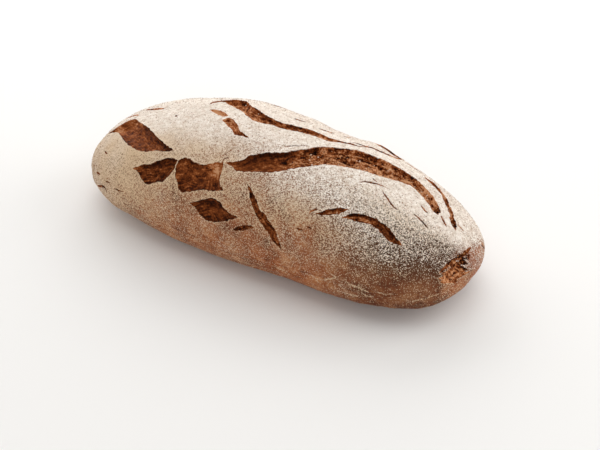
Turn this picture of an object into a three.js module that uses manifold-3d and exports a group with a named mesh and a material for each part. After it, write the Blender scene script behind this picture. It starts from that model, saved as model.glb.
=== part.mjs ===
// A long rye bread loaf, baked free on the oven floor: one solid, with the splits that its
// crust tore open along in the oven.
//
// Millimetres, +Z up. X runs along the loaf, -Y is its front flank, and the flat underside lies
// on Z = 0. The origin is the middle of that underside, so it is the point the loaf stands over.
//
// A place on the crust is given as [x, roll]: x is how far along the loaf it is, and roll is the
// angle round the cross-section in degrees, from 0 at the ridge to 90 on the front flank, -90 on
// the back flank and 180 in the middle of the underside.
import * as THREE from 'three';
import Module from 'manifold-3d';

const wasm = await Module();
wasm.setup();

// ---- The loaf's body -------------------------------------------------------------------------
const LENGTH = 300;
const WIDTH = 129;
const HEIGHT = 82;
const WAIST = 26; // height of the widest line of a cross-section
const SINK = 3.6; // the round underside would reach this far below the table, and is cut flat
const FATTEST = -16; // x of the widest and highest cross-section

// Fullness of the outline towards the two ends: a larger number keeps it wide for longer.
const FRONT_FULLNESS = { left: 3.3, right: 4.2 };
const BACK_FULLNESS = { left: 1.9, right: 2.0 };
const RIDGE_FULLNESS = { left: 1.9, right: 2.2 };
const PLAN_BLUNTNESS = 2.84; // how bluntly the outline closes at an end, seen from above
const RIDGE_BLUNTNESS = 1.92; // the same for the ridge, seen from the side
const UNDERSIDE_POWER = 0.6; // the underside tapers as the ridge does, raised to this power

// Exponents of the cross-section's superellipse: 2 is a plain ellipse, more is squarer.
const DOME_SQUARENESS = 2.25;
const UNDERSIDE_SQUARENESS = 2.8;

// Broad swells and hollows of the hand-shaped dough: centre [x, roll], reach along in mm, reach
// round in degrees, and height in mm, which is negative in a hollow.
const SWELLS = [
  { at: [-139, 4], along: 7, round: 30, height: 1.2 },
  { at: [-48, -45], along: 28, round: 40, height: 2.2 },
  { at: [25, -45], along: 22, round: 40, height: -1.6 },
  { at: [55, -45], along: 13, round: 40, height: 1.8 },
  { at: [133, 112], along: 14, round: 35, height: 2.8 },
  { at: [42, 110], along: 28, round: 35, height: -2.6 },
  { at: [-88, 108], along: 18, round: 35, height: -1.8 },
];

// ---- The splits in the crust -----------------------------------------------------------------
// Each split is torn open between two edges, which both start from its first tip. The back edge
// ends at its other tip, and the front edge stops short of it.
const SPLITS = {
  long_split: {
    depth: 6,
    back: [[-20, 41], [-6, 30], [8, 18], [30, -2], [50, -14], [70, -24], [88, -28], [106, -29],
      [118, -17], [121, -6]],
    front: [[-20, 41], [-10, 42], [8, 38], [31, 21], [48, 9], [62, 2], [76, -5], [93, -16],
      [105, -14], [117, -9]],
  },
  ridge_split: {
    depth: 5,
    back: [[-68, -13], [-68, -20], [-59, -28], [-50, -29], [-40, -23], [-22, -16], [-4, -15],
      [12, -18], [28, -19], [44, -23]],
    front: [[-68, -13], [-64, -19], [-57, -19], [-47, -15], [-34, -10], [-22, -5], [-10, -5],
      [4, -9], [18, -12], [34, -17]],
  },
  left_patch: {
    depth: 4.5,
    back: [[-135, 40], [-129, 28], [-120, 13], [-106, 22], [-90, 31], [-76, 38], [-61, 43]],
    front: [[-135, 40], [-123, 37], [-115, 42], [-107, 47], [-97, 50], [-84, 49], [-75, 46]],
  },
  flank_patch: {
    depth: 5,
    back: [[-90, 63], [-76, 56], [-65, 50], [-59, 48], [-57, 52], [-56, 59]],
    front: [[-90, 63], [-84, 64], [-79, 67], [-72, 69], [-65, 65], [-60, 62]],
  },
  square_patch: {
    depth: 5,
    back: [[-54, 49], [-50, 45], [-42, 46], [-34, 45], [-22, 42], [-20, 49], [-14, 56]],
    front: [[-54, 49], [-52, 57], [-44, 65], [-37, 62], [-30, 60], [-22, 58]],
  },
  low_patch: {
    depth: 4,
    back: [[-38, 71], [-28, 67], [-18, 63], [-11, 64], [-4, 66], [6, 68]],
    front: [[-38, 71], [-31, 72], [-25, 75], [-17, 78], [-9, 75], [-2, 71]],
  },
  slanting_split: {
    depth: 3.5,
    back: [[2, 48], [13, 55], [18, 60], [26, 64], [32, 68], [36, 74], [39, 80]],
    front: [[2, 48], [9, 57], [14, 62], [20, 67], [26, 71], [32, 76]],
  },
  right_split: {
    depth: 4,
    back: [[72, 47], [79, 41], [88, 38], [96, 38], [105, 42], [115, 50]],
    front: [[72, 47], [84, 45], [93, 44], [101, 47], [107, 50]],
  },
  middle_split: {
    depth: 3,
    back: [[56, 50], [61, 46], [66, 42], [74, 39]],
    front: [[56, 50], [61, 49], [66, 46], [71, 44]],
  },
  ridge_chip: {
    depth: 3,
    back: [[-46, 5], [-41, 3], [-36, 4], [-30, 9], [-24, 14], [-15, 18]],
    front: [[-46, 5], [-41, 8], [-37, 11], [-31, 15], [-24, 17]],
  },
  end_split: {
    depth: 4,
    back: [[95, -41], [103, -44], [112, -42], [120, -36], [127, -28], [131, -18], [133, -7]],
    front: [[95, -41], [103, -39], [111, -35], [119, -28], [125, -20], [129, -13]],
  },
  back_split: {
    depth: 3.5,
    back: [[46, -42], [55, -45], [62, -48], [68, -49], [74, -46]],
    front: [[46, -42], [57, -38], [65, -40], [70, -41]],
  },
  rear_left_split: {
    depth: 4,
    back: [[-98, -64], [-86, -70], [-72, -74], [-58, -74], [-44, -70]],
    front: [[-98, -64], [-84, -63], [-70, -66], [-56, -69]],
  },
  rear_right_split: {
    depth: 4,
    back: [[-2, -70], [12, -77], [28, -79], [44, -76]],
    front: [[-2, -70], [12, -70], [28, -73]],
  },
};
const STATION_STEP = 5; // mm between the cross-sections that a split is torn out by
const DEPTH_SHARE = 0.45; // a split is no deeper than this share of its width
const WALL_SHARE = 0.12; // share of the width that the steep wall under the back edge takes
const FLOOR_PLACE = 0.6; // where the floor starts to rise, as a share of the width
const FLOOR_SHARE = 0.8; // how deep the floor is there, as a share of the depth
const STEP_SHARE = 0.03; // share of the width that the step under the front edge takes
const STEP_DEPTH_SHARE = 0.3; // how deep the foot of that step is, as a share of the depth
const CLEAR = 4; // mm that a torn-out body stands proud of the crust, to cut it cleanly

// ---- The mesh --------------------------------------------------------------------------------
const RINGS = 71; // cross-sections from tip to tip
const CRUST_COLUMNS = 37; // points of a ring over the ridge and both flanks
const UNDERSIDE_COLUMNS = 8; // points of a ring across the underside
const CRUST_REACH = 112; // degrees from the ridge at which the underside's wider steps begin
const OUTLINE_STEPS = 400; // steps that the outline's length is measured in
const TIP_CLEARANCE = 0.6; // mm from a tip to its nearest ring, measured along the outline
const NUDGE = 0.01; // mm and degrees between the points that a normal is measured from

// ---- Shape of the body -----------------------------------------------------------------------

/** How wide or high the loaf is at place t, 1 at its fattest and 0 at the tips: the root of
 *  1 - |t| to the power of the fullness. */
function taper(t, fullness, bluntness) {
  const power = t < 0 ? fullness.left : fullness.right;
  return Math.max(1 - Math.abs(t) ** power, 0) ** (1 / bluntness);
}

/** Place along the loaf, from -1 at the left tip through 0 at the fattest section to 1. */
function placeAlong(x) {
  const reach = x < FATTEST ? LENGTH / 2 + FATTEST : LENGTH / 2 - FATTEST;
  return THREE.MathUtils.clamp((x - FATTEST) / reach, -1, 1);
}

/** The distances from the X axis to the front and the back outline, and the ridge's taper. */
function outlineAt(x) {
  const t = placeAlong(x);
  return {
    front: (WIDTH / 2) * taper(t, FRONT_FULLNESS, PLAN_BLUNTNESS),
    back: (WIDTH / 2) * taper(t, BACK_FULLNESS, PLAN_BLUNTNESS),
    ridge: taper(t, RIDGE_FULLNESS, RIDGE_BLUNTNESS),
  };
}

/** Height of the swells and hollows at a place on the crust: a sum of bell curves. */
function swellAt(x, roll) {
  let height = 0;
  for (const swell of SWELLS) {
    const along = (x - swell.at[0]) / swell.along;
    const round = THREE.MathUtils.euclideanModulo(roll - swell.at[1] + 180, 360) - 180;
    height += swell.height * Math.exp(-(along ** 2) - (round / swell.round) ** 2);
  }
  return height;
}

/** The point of the whole crust, before it split, at [x, roll]: a superellipse round the waist
 *  line, with the swells added to its radius and everything below the table cut flat. */
function crustPoint(x, roll) {
  const { front, back, ridge } = outlineAt(x);
  const middleY = (back - front) / 2;
  const outward = Math.sin(THREE.MathUtils.degToRad(roll));
  const upward = Math.cos(THREE.MathUtils.degToRad(roll));
  const halfWidth = Math.max((front + back) / 2, Number.EPSILON);
  const rise = (HEIGHT - WAIST) * ridge;
  const drop = (WAIST + SINK) * ridge ** UNDERSIDE_POWER;
  const reach = Math.max(upward > 0 ? rise : drop, Number.EPSILON);
  const power = upward > 0 ? DOME_SQUARENESS : UNDERSIDE_SQUARENESS;
  const sum = (Math.abs(outward) / halfWidth) ** power + (Math.abs(upward) / reach) ** power;
  const radius = sum ** (-1 / power) + swellAt(x, roll) * ridge;
  const z = Math.max(WAIST + radius * upward, 0);
  return new THREE.Vector3(x, middleY - radius * outward, z);
}

/** The x of each ring, so that the rings are evenly spaced along the loaf's front outline. */
function ringPlaces() {
  const outline = [];
  for (let i = 0; i <= OUTLINE_STEPS; i += 1) {
    const x = (LENGTH / 2) * Math.sin(Math.PI * (i / OUTLINE_STEPS - 0.5));
    outline.push(new THREE.Vector3(x, outlineAt(x).front, 0));
  }
  const curve = new THREE.CatmullRomCurve3(outline);
  curve.arcLengthDivisions = 2 * OUTLINE_STEPS;
  const clear = TIP_CLEARANCE / curve.getLength();
  const places = [];
  for (let i = 0; i < RINGS; i += 1) {
    places.push(curve.getPointAt(THREE.MathUtils.lerp(clear, 1 - clear, i / (RINGS - 1))).x);
  }
  return places;
}

/** The roll of each column of points: small steps over the crust, wide ones underneath. */
function columnRolls() {
  const rolls = [];
  for (let i = 0; i < CRUST_COLUMNS; i += 1) {
    rolls.push(THREE.MathUtils.lerp(-CRUST_REACH, CRUST_REACH, i / (CRUST_COLUMNS - 1)));
  }
  const gap = 360 - 2 * CRUST_REACH;
  for (let i = 1; i <= UNDERSIDE_COLUMNS; i += 1) {
    rolls.push(CRUST_REACH + (gap * i) / (UNDERSIDE_COLUMNS + 1));
  }
  return rolls;
}

/** The direction straight out of the crust at [x, roll]. */
function crustNormal(x, roll) {
  const along = crustPoint(x + NUDGE, roll).sub(crustPoint(x - NUDGE, roll));
  const round = crustPoint(x, roll + NUDGE).sub(crustPoint(x, roll - NUDGE));
  return round.cross(along).normalize();
}

// ---- Closed bodies ---------------------------------------------------------------------------

/** A closed body from rings of points and the point at each of its two tips: quads between the
 *  rings, and a fan round each tip. */
function closedBody(firstTip, rings, lastTip) {
  const columns = rings[0].length;
  const first = rings.length * columns;
  const last = first + 1;
  const index = [];
  for (let column = 0; column < columns; column += 1) {
    const next = (column + 1) % columns;
    for (let ring = 0; ring < rings.length - 1; ring += 1) {
      const here = ring * columns;
      const there = here + columns;
      index.push(here + column, here + next, there + next);
      index.push(here + column, there + next, there + column);
    }
    const end = first - columns;
    index.push(first, next, column);
    index.push(last, end + column, end + next);
  }
  const points = [...rings.flat(), firstTip, lastTip];
  return new wasm.Manifold(new wasm.Mesh({
    numProp: 3,
    vertProperties: new Float32Array(points.flatMap((point) => point.toArray())),
    triVerts: new Uint32Array(index),
  }));
}

/** The whole loaf, before its crust split. */
function wholeLoaf() {
  const rolls = columnRolls();
  const rings = ringPlaces().map((x) => rolls.map((roll) => crustPoint(x, roll)));
  const leftTip = new THREE.Vector3(-LENGTH / 2, 0, WAIST);
  const rightTip = new THREE.Vector3(LENGTH / 2, 0, WAIST);
  return closedBody(leftTip, rings, rightTip);
}

/** A smooth curve through an edge's [x, roll] stations, with the roll kept in its Y. */
function edgeCurve(stations) {
  return new THREE.CatmullRomCurve3(stations.map(([x, roll]) => new THREE.Vector3(x, roll, 0)));
}

/** One cross-section of a torn-out body, between a place on the back edge and one on the front
 *  edge: a steep wall down from the back edge, a floor that rises towards the front, and a low
 *  step up to the front edge. It stands proud of the crust by CLEAR. */
function tearSection(back, front, depth) {
  const middle = back.clone().lerp(front, 0.5);
  const acrossPoint = (share) => crustPoint(back.x, back.y).lerp(crustPoint(front.x, front.y), share);
  const width = acrossPoint(0).distanceTo(acrossPoint(1));
  const deep = Math.min(depth, width * DEPTH_SHARE);
  const inBack = crustNormal(back.x, back.y).negate();
  const inMiddle = crustNormal(middle.x, middle.y).negate();
  const inFront = crustNormal(front.x, front.y).negate();
  return [
    acrossPoint(0).addScaledVector(inBack, -CLEAR),
    crustPoint(middle.x, middle.y).addScaledVector(inMiddle, -CLEAR),
    acrossPoint(1).addScaledVector(inFront, -CLEAR),
    acrossPoint(1 - STEP_SHARE).addScaledVector(inFront, deep * STEP_DEPTH_SHARE),
    acrossPoint(FLOOR_PLACE).addScaledVector(inMiddle, deep * FLOOR_SHARE),
    acrossPoint(WALL_SHARE).addScaledVector(inBack, deep),
  ];
}

/** The body that is torn out of the loaf for one split, from tip to tip. */
function tornBody({ depth, back, front }) {
  const lastTip = back[back.length - 1];
  const backEdge = edgeCurve(back);
  const frontEdge = edgeCurve([...front, lastTip]);
  const stations = Math.ceil(backEdge.getLength() / STATION_STEP);
  const sections = [];
  for (let i = 1; i < stations; i += 1) {
    const share = i / stations;
    sections.push(tearSection(backEdge.getPointAt(share), frontEdge.getPointAt(share), depth));
  }
  return closedBody(crustPoint(...back[0]), sections, crustPoint(...lastTip));
}

/** The loaf with every split torn out of it, as a geometry. */
function loafGeometry() {
  let solid = wholeLoaf();
  for (const split of Object.values(SPLITS)) {
    solid = solid.subtract(tornBody(split));
  }
  const { vertProperties, triVerts } = solid.getMesh();
  const geometry = new THREE.BufferGeometry();
  geometry.setAttribute('position', new THREE.BufferAttribute(vertProperties, 3));
  geometry.setIndex(new THREE.BufferAttribute(triVerts, 1));
  geometry.computeVertexNormals();
  return geometry;
}

// ---- The part --------------------------------------------------------------------------------

const flouredCrust = new THREE.MeshStandardMaterial({ color: '#a98f7e', roughness: 0.9, metalness: 0 });
const loaf = new THREE.Mesh(loafGeometry(), flouredCrust);
loaf.name = 'loaf';

const part = new THREE.Group();
part.add(loaf);

export default part;
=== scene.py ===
# %% [markdown]
# # A floured rye loaf
#
# A rye loaf is rolled in flour and baked on the floor of the oven. The skin under the flour dries
# first while the dough inside still rises, so it tears open in splits, whose floors bake brown
# without flour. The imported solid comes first, because it sets where everything goes.

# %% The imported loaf
import math
from functools import partial

import bpy
import numpy as np
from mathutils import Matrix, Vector


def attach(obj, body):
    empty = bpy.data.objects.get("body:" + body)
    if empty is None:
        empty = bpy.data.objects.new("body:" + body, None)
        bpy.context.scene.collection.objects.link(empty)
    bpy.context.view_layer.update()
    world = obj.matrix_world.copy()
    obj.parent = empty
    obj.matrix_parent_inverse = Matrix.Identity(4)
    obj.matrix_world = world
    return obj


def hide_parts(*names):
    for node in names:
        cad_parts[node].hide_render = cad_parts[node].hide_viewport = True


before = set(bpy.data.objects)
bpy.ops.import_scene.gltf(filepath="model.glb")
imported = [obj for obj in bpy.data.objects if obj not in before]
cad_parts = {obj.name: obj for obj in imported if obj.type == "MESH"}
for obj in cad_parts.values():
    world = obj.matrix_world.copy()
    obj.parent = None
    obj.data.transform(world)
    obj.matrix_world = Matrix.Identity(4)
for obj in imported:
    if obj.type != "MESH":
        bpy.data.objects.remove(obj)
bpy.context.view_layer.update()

MM = 0.001  # one millimetre in metres; the shapes below are worked out in millimetres

# %% [markdown]
# ## Camera
#
# A loaf is mostly seen from a seat at the table, which looks down by about a third of a right
# angle. The lens is long and a metre away, so that the near end doesn't swell. The camera comes
# first, so that each later step can be looked at through it.

# %% Camera
VIEW_TURN = 32.5  # degrees round the loaf from straight in front of its front flank
VIEW_RISE = 34.0  # degrees above the table
VIEW_CENTRE = (0, 0, 39)  # mm, the point in the loaf that both angles and the distance go from
VIEW_DISTANCE = 980  # mm
VIEW_TARGET = (14.5, 0, 10)  # mm, the point in the middle of the view
LENS = 84  # mm, for a sensor 36 mm wide


def spherical(turn, rise):
    """The direction that turns by the first angle from -Y towards +X and rises by the second."""
    turn, rise = math.radians(turn), math.radians(rise)
    flat = math.cos(rise)
    return Vector((math.sin(turn) * flat, -math.cos(turn) * flat, math.sin(rise)))


camera = bpy.data.objects.new("camera", bpy.data.cameras.new("camera"))
bpy.context.scene.collection.objects.link(camera)
camera.location = (Vector(VIEW_CENTRE) + spherical(VIEW_TURN, VIEW_RISE) * VIEW_DISTANCE) * MM
sight = Vector(VIEW_TARGET) * MM - camera.location
camera.rotation_euler = sight.to_track_quat("-Z", "Y").to_euler()
camera.data.lens = LENS
bpy.context.scene.camera = camera
print("the camera stands", round(sight.length, 2), "m from what it looks at")

# %% [markdown]
# ## The body
#
# Dough shaped by hand is an egg pulled long, with a flat underside. A place on its crust needs
# two numbers: x along the loaf, and roll, the angle round it from 0 at the ridge to 90 degrees on
# the front flank, -90 on the back flank and 180 underneath. The body could be sculpted, but as
# one formula of x and roll it tells every later step where it is.

# %% The body's formula
LENGTH, WIDTH, HEIGHT = 300, 129, 82  # mm
WAIST = 26  # height of the widest line of a cross-section
SINK = 3.6  # how far the round underside would reach below the table, where it is cut flat
FATTEST = -16  # x of the widest and highest cross-section
FRONT_FULLNESS = (3.3, 4.2)  # how long the outline stays wide towards the left and right tip
BACK_FULLNESS = (1.9, 2.0)
RIDGE_FULLNESS = (1.9, 2.2)
PLAN_BLUNTNESS, RIDGE_BLUNTNESS = 2.84, 1.92  # how bluntly an outline closes at a tip
DOME_SQUARENESS, UNDERSIDE_SQUARENESS = 2.25, 2.8
UNDERSIDE_POWER = 0.6  # less than 1, so that the underside stays deep up to the tips
TINY = 1e-12  # what a length that may be 0 is divided by instead
# Broad swells and hollows: x, roll, reach along in mm, reach round in degrees, height in mm.
SWELLS = [(-139, 4, 7, 30, 1.2), (-48, -45, 28, 40, 2.2), (25, -45, 22, 40, -1.6),
          (55, -45, 13, 40, 1.8), (133, 112, 14, 35, 2.8), (42, 110, 28, 35, -2.6),
          (-88, 108, 18, 35, -1.8)]


def taper(t, fullness, bluntness):
    """1 at the fattest section and 0 at the tips: a root of 1 - |t| to the fullness."""
    power = np.where(t < 0, *fullness)
    return np.maximum(1 - np.abs(t) ** power, 0) ** (1 / bluntness)


def outlines(x):
    """Distances in mm from the X axis to the front and back outline, and the ridge's taper."""
    reach = np.where(x < FATTEST, LENGTH / 2 + FATTEST, LENGTH / 2 - FATTEST)
    t = np.clip((x - FATTEST) / reach, -1, 1)
    front = WIDTH / 2 * taper(t, FRONT_FULLNESS, PLAN_BLUNTNESS)
    back = WIDTH / 2 * taper(t, BACK_FULLNESS, PLAN_BLUNTNESS)
    return front, back, taper(t, RIDGE_FULLNESS, RIDGE_BLUNTNESS)


def bells(x, roll, rows):
    """A sum of bell curves over the crust, one for each row of x, roll, two reaches and height."""
    total = np.zeros(np.broadcast(x, roll).shape)
    for centre, angle, along, around, height in rows:
        turned = (roll - angle + 180) % 360 - 180
        total += height * np.exp(-(((x - centre) / along) ** 2) - (turned / around) ** 2)
    return total


def crust_point(x, roll):
    """The crust before it split, in mm. Each cross-section is a superellipse round the waist:
    |sideways / half width| ^ n + |upwards / height| ^ n = 1, with the swells added to its radius
    and whatever would be below the table cut flat."""
    front, back, ridge = outlines(x)
    outward, upward = np.sin(np.radians(roll)), np.cos(np.radians(roll))
    wide = np.maximum((front + back) / 2, TINY)
    above = upward > 0
    reach = np.where(above, (HEIGHT - WAIST) * ridge, (WAIST + SINK) * ridge**UNDERSIDE_POWER)
    power = np.where(above, DOME_SQUARENESS, UNDERSIDE_SQUARENESS)
    sides = (np.abs(outward) / wide) ** power + (np.abs(upward) / np.maximum(reach, TINY)) ** power
    radius = sides ** (-1 / power) + bells(x, roll, SWELLS) * ridge
    y = (back - front) / 2 - radius * outward
    z = np.maximum(WAIST + radius * upward, 0)
    return np.stack([x + 0 * y, y, z], axis=-1)


def crust_normal(x, roll, nudge=0.02):
    """The direction straight out of the crust: the cross product of its slopes along and round,
    each measured over a nudge of x and of roll to both sides."""
    along = crust_point(np.minimum(x + nudge, LENGTH / 2), roll)
    along -= crust_point(np.maximum(x - nudge, -LENGTH / 2), roll)
    normal = np.cross(crust_point(x, roll + nudge) - crust_point(x, roll - nudge), along)
    length = np.linalg.norm(normal, axis=-1, keepdims=True)
    tip = np.stack([np.sign(x), 0 * x, 0 * x], axis=-1)
    return np.where(length > TINY, normal / np.maximum(length, TINY), tip)


print("ridge at the fattest section:", crust_point(np.array([FATTEST]), np.zeros(1))[0].round(1))

# %% [markdown]
# ## Unevenness
#
# Nothing in bread is regular. In lattice noise each corner of a grid of cubes has a random
# number, and a point takes a smooth mixture of the eight round it. Cell noise gives the distance
# to the nearest of the points scattered one to a cube, which makes round pores. Blender's own
# noise would need a loop over the points, and these take them all at once.

# %% Noise
SHUFFLE = (0x9E3779B1, 0x85EBCA77, 0xC2B2AE3D, 0x27D4EB2F)  # odd constants that mix bits well
WORD = 0xFFFFFFFF  # all of a number's 32 bits
FOLD = 15  # bits by which its upper half is laid over the lower one


def smooth_step(value, low, high):
    """0 below low and 1 above high, with a smooth S between them: t squared times 3 - 2t."""
    t = np.clip((value - low) / (high - low), 0, 1)
    return t * t * (3 - 2 * t)


def lattice_number(cell, seed):
    """A number from 0 to 1 that belongs to a cell, given by three whole numbers. One after the
    other, they are mixed in by a product with an odd constant."""
    mixed = np.full(cell.shape[:-1], (seed * SHUFFLE[3]) & WORD, dtype=np.uint64)
    for axis in range(3):
        turned = (cell[..., axis].astype(np.int64) & WORD).astype(np.uint64)
        mixed = ((mixed ^ turned) * np.uint64(SHUFFLE[axis])) & np.uint64(WORD)
        mixed ^= mixed >> np.uint64(FOLD)
    return mixed / WORD


def noise(points, size, seed):
    """Smooth noise from -1 to 1 whose bumps are about size mm apart: the numbers of the eight
    corners round a point, each weighted by a smooth step of how near it is."""
    scaled = points / np.asarray(size, float)
    cell = np.floor(scaled)
    part = smooth_step(scaled - cell, 0, 1)
    total = np.zeros(points.shape[:-1])
    for corner in np.ndindex(2, 2, 2):
        share = np.prod(np.where(corner, part, 1 - part), axis=-1)
        total += share * lattice_number(cell + corner, seed)
    return 2 * total - 1


def layers(points, rows):
    """A sum of noises, one for each row of size in mm, height and seed."""
    return sum(height * noise(points, size, seed) for size, height, seed in rows)


def pores(points, size, seed):
    """Distance, as a share of size, from each point to the nearest of the points that are
    scattered one to a cube, and a number from 0 to 1 that belongs to that nearest one."""
    scaled = points / np.asarray(size, float)
    cell = np.floor(scaled)
    nearest = np.full(points.shape[:-1], np.inf)
    owner = np.zeros(points.shape[:-1])
    for corner in np.ndindex(3, 3, 3):
        other = cell + corner - 1
        centre = other + np.stack([lattice_number(other, seed + i) for i in range(3)], axis=-1)
        distance = np.linalg.norm(scaled - centre, axis=-1)
        owner = np.where(distance < nearest, lattice_number(other, seed + 3), owner)
        nearest = np.minimum(distance, nearest)
    return nearest, owner


sample = noise(np.random.default_rng(1).uniform(-99, 99, (5000, 3)), 7, 1)
print("noise has mean", sample.mean().round(3), "and spread", sample.std().round(3))

# %% [markdown]
# ## Splits
#
# A split has a steep wall under its back edge, and its floor rises gently to the front edge.
# Booleans would cut smooth, sharp-cornered pits, but relief can be as rough as real crumb. So
# each split is kept as its two edges, which share both tips.

# %% Where the crust tore open
# For each split: its depth in mm, its back edge from tip to tip in places of x and roll, and the
# places of its front edge between the tips.
SPLITS = {
    "long": (6,
        [(-20, 41), (-11, 36), (-4, 28), (10, 19.5), (22, 8), (33, -5), (49, -14.5), (63, -20),
         (83, -27), (95, -29), (105, -27), (115, -21), (120, -15), (121, -7)],
        [(-10, 42.6), (-1, 41), (12, 37), (26, 28.5), (33, 22), (46, 11), (62, 4), (76, -3),
         (89, -11), (97, -16), (106, -14), (112, -11), (118, -7)]),
    "ridge": (5,
        [(-67, -11), (-68, -20), (-61, -23), (-56, -29), (-47, -28), (-39, -22), (-22, -14),
         (-10, -11.5), (4, -15), (16, -18), (30, -19), (45, -22)],
        [(-65, -18), (-60, -20), (-54, -17), (-47, -13.5), (-38, -9.5), (-24, -3), (-13, -3.5),
         (0, -5.5), (14, -10.5), (28, -13), (38, -17.5)]),
    "left": (4.5,
        [(-135, 40), (-129, 28), (-120, 13), (-106, 22), (-90, 31), (-76, 38), (-61, 43)],
        [(-123, 37), (-115, 42), (-107, 46), (-97, 49), (-84, 49), (-75, 46)]),
    "flank": (5,
        [(-89, 63), (-83, 59), (-76, 56), (-64, 49), (-59, 48), (-55, 48.5), (-54.4, 51),
         (-56, 58)],
        [(-84, 64), (-79, 67.5), (-71, 69), (-64, 65.5), (-60, 63.5)]),
    "square": (5,
        [(-54, 52), (-54, 48), (-50, 45), (-45, 45), (-41, 46), (-31, 45), (-21, 41), (-19.5, 46),
         (-18, 51), (-12, 57)],
        [(-52.5, 57), (-49, 62), (-44, 66.5), (-38, 65), (-30, 62), (-21, 60)]),
    "low": (4,
        [(-36, 71), (-29, 68), (-24, 65), (-18, 63), (-13, 64), (-6, 67), (4, 69)],
        [(-30, 73), (-26, 76), (-22, 78), (-15, 78), (-9, 76), (-4, 73)]),
    "slanting": (3.5,
        [(2, 48), (13, 55), (18, 60), (26, 64), (32, 68), (36, 74), (39, 80)],
        [(9, 57), (14, 62), (20, 67), (26, 71), (32, 76)]),
    "right": (4,
        [(72, 47), (79, 41), (88, 38), (96, 38), (105, 42), (115, 50)],
        [(84, 45), (93, 44), (101, 47), (107, 50)]),
    "middle": (3,
        [(55, 51), (61, 46), (67, 42), (75, 39)],
        [(61, 50), (67, 47), (72, 43)]),
    "ridge_chip": (2.2,
        [(-45, 6), (-43, 3), (-38, 3), (-32, 7), (-25, 13), (-21, 14), (-15, 17)],
        [(-39, 10), (-32, 14), (-26, 18), (-21, 17)]),
    "small_chip": (2,
        [(-62, -5), (-56, -6), (-50, -4), (-43, 0)],
        [(-53, 0), (-47, 2)]),
    "low_chip": (2,
        [(0, 78), (6, 74), (12, 71), (17, 71)],
        [(7, 77), (12, 75)]),
    "end": (3,
        [(95, -40), (100, -43), (105, -44), (111, -42), (116, -39), (121, -35), (126, -30),
         (129, -25), (132, -18), (134, -8)],
        [(101, -39), (107, -38), (113, -35), (118, -31), (122, -26), (126, -21), (130, -13)]),
    "end_rough": (2.2,
        [(146, 18), (147, 39), (148.5, 60), (148.5, 74), (147, 82)],
        [(144, 36), (142, 50), (140.5, 62), (141, 70), (143, 78)]),
    "back": (2.5,
        [(45, -46), (55, -47), (64, -47), (77, -45)],
        [(55, -42), (66, -41)]),
    "rear_left": (4,
        [(-98, -64), (-86, -70), (-72, -74), (-58, -74), (-44, -70)],
        [(-84, -63), (-70, -66), (-56, -69)]),
    "rear_right": (4,
        [(-2, -70), (12, -77), (28, -79), (44, -76)],
        [(12, -70), (28, -73)]),
}
print(len(SPLITS), "splits, up to", max(depth for depth, *_ in SPLITS.values()), "mm deep")

# %% [markdown]
# ## Cracks and creases
#
# Between the splits the skin cracked a millimetre or two wide, and low down it was pressed into
# creases that kept their flour. Painted on, they wouldn't catch the light, so both are cut in,
# each along a middle line.

# %% Cracks and creases
# For each: half its width in mm, then the places of its middle line.
CRACKS = [
    (0.75, [(70, 12), (76, 8), (80, 6), (85, 4)]),
    (0.5, [(74, 3), (79, 4)]),
    (0.65, [(85, 10), (91, 15), (95, 18), (101, 20)]),
    (0.75, [(109, -3), (112, -1), (116, 1)]),
    (0.65, [(109, 14), (115, 15), (118, 17), (122, 20)]),
    (0.6, [(132, -22), (134, -25), (137, -28)]),
    (0.8, [(122, -11), (125, -7), (129, -3)]),
    (0.5, [(9, 13), (16, 7), (23, 1)]),
    (0.7, [(46, 63), (51, 63)]),
    (0.5, [(53, 60), (57, 60)]),
    (0.7, [(51, 52), (53, 49), (56, 47)]),
    (1.9, [(-121, -15), (-111.5, -11), (-102, -8)]),
    (1.5, [(-134, 4), (-130.5, -2.5), (-126, -2), (-120, 1)]),
    (1.9, [(-33, -37), (-28, -40), (-20, -40)]),
    (1.0, [(-6, -25), (3, -28)]),
    (1.2, [(14, -26), (25, -31)]),
    (1.1, [(30, -33), (37, -37)]),
    (0.9, [(39, -19.5), (45, -21), (49, -23), (54, -27)]),
    (1.4, [(40, -25), (52, -28), (63, -34), (70, -39.5), (75, -45)]),
    (1.3, [(76, -45), (80, -47), (88, -48)]),
    (1.0, [(-134.5, 78), (-132, 84)]),
    (0.9, [(-128, 82), (-122, 80)]),
    (1.0, [(-128, 97), (-120, 91), (-115, 89), (-113, 92)]),
    (0.6, [(-105, 84), (-96, 83)]),
    (0.6, [(-115, 82), (-109, 81)]),
    (0.9, [(-85, 6), (-82, 8)]),
    (0.8, [(-29.6, 86.4), (-28.4, 86.4)]),
    (0.5, [(-6, 86.4), (-5, 86.4)]),
    (0.7, [(-125, 60), (-120, 61)]),
    (0.5, [(-22, 42), (-22, 38), (-20, 36)]),
    (0.35, [(-24, 36), (-23, 33)]),
    (1.3, [(145, -24), (144.6, 4), (144.9, 25)]),
    (1.2, [(144.5, 14), (143.3, 33), (143, 46)]),
    (1.1, [(142.8, 36), (141.8, 52), (139.5, 66)]),
    (1.0, [(146.4, -5), (146.9, 22)]),
    (0.7, [(146.6, -66), (147, -78), (147.4, -90)]),
]
CREASES = [
    (0.35, [(30, 95), (36, 95), (43, 96)]),
    (0.35, [(57, 91), (62, 91), (68, 95)]),
    (0.35, [(66, 92), (71, 91), (76, 88), (82, 85)]),
    (0.35, [(75, 84.5), (81, 86)]),
    (0.45, [(84.5, 86.5), (90.5, 88.5), (96.5, 89.5), (102.5, 90.5)]),
    (0.4, [(97, 92), (102, 94.5), (106, 93.5)]),
    (0.35, [(80, 96.5), (90, 97), (98, 96)]),
    (0.3, [(104, 88), (111, 90), (120, 88)]),
    (0.35, [(127, 96), (136.5, 93), (143, 92)]),
]
print(len(CRACKS), "cracks and", len(CREASES), "creases")

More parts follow.
